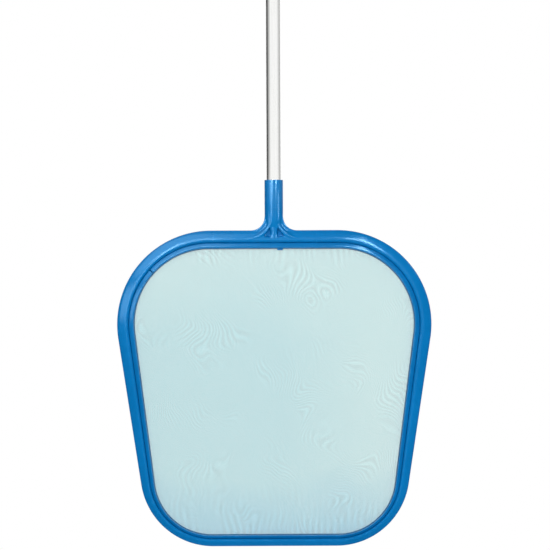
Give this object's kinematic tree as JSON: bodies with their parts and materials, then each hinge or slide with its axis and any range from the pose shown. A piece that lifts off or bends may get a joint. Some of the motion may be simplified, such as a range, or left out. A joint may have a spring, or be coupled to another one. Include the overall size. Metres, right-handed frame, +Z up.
{
  "type": "leaf skimmer net",
  "caption": "Flat leaf skimmer net with a rounded blue frame, a clamped mesh and a pole socket on a two-section telescoping pole with a twist lock, grip and hanging hole.",
  "frame": {"origin": "centre of the hanging hole in the end cap at the pole's top", "axes": "+X to the net's right as seen from its front, +Y to the back, +Z up along the pole; the net's front faces -Y"},
  "size_m": [0.4186, 0.0348, 1.3247],
  "materials": {
    "frame_plastic": "moulded blue polypropylene, satin gloss",
    "ring_plastic": "moulded blue polypropylene, satin gloss",
    "net_fabric": "fine woven pale cyan mesh, matt",
    "pole_aluminium": "drawn and anodised, satin",
    "dark_plastic": "moulded, matt",
    "white_plastic": "moulded, matt",
    "grip_rubber": "ribbed soft vinyl, matt"
  },
  "bodies": {
    "handle": {"outer_pole": "pole_aluminium", "lock_body": "dark_plastic", "lock_collet": "white_plastic", "lock_rivet_right": "pole_aluminium", "lock_rivet_left": "pole_aluminium", "grip": "grip_rubber", "end_cap": "frame_plastic"},
    "nut": {"lock_nut": "frame_plastic"},
    "bush": {"guide_bush": "white_plastic"},
    "pole": {"inner_pole": "pole_aluminium", "pole_tip": "dark_plastic"},
    "head": {"net_frame": "frame_plastic", "retaining_ring": "ring_plastic", "net_mesh": "net_fabric"}
  },
  "joints": [
    {"name": "nut_turn", "type": "hinge", "parent": "handle", "child": "nut", "pos_m": [0, 0, -0.543], "axis": [0, 0, 1], "range_deg": [0, 120]},
    {"name": "pole_slide", "type": "slide", "parent": "handle", "child": "bush", "axis": [0, 0, -1], "range_m": [-0.239, 0.245]},
    {"name": "pole_twist", "type": "hinge", "parent": "bush", "child": "pole", "pos_m": [0, 0, -0.291], "axis": [0, 0, 1], "continuous": true},
    {"name": "head_pull", "type": "slide", "parent": "pole", "child": "head", "axis": [0, 0, -1], "range_m": [0, 0.06]}
  ]
}
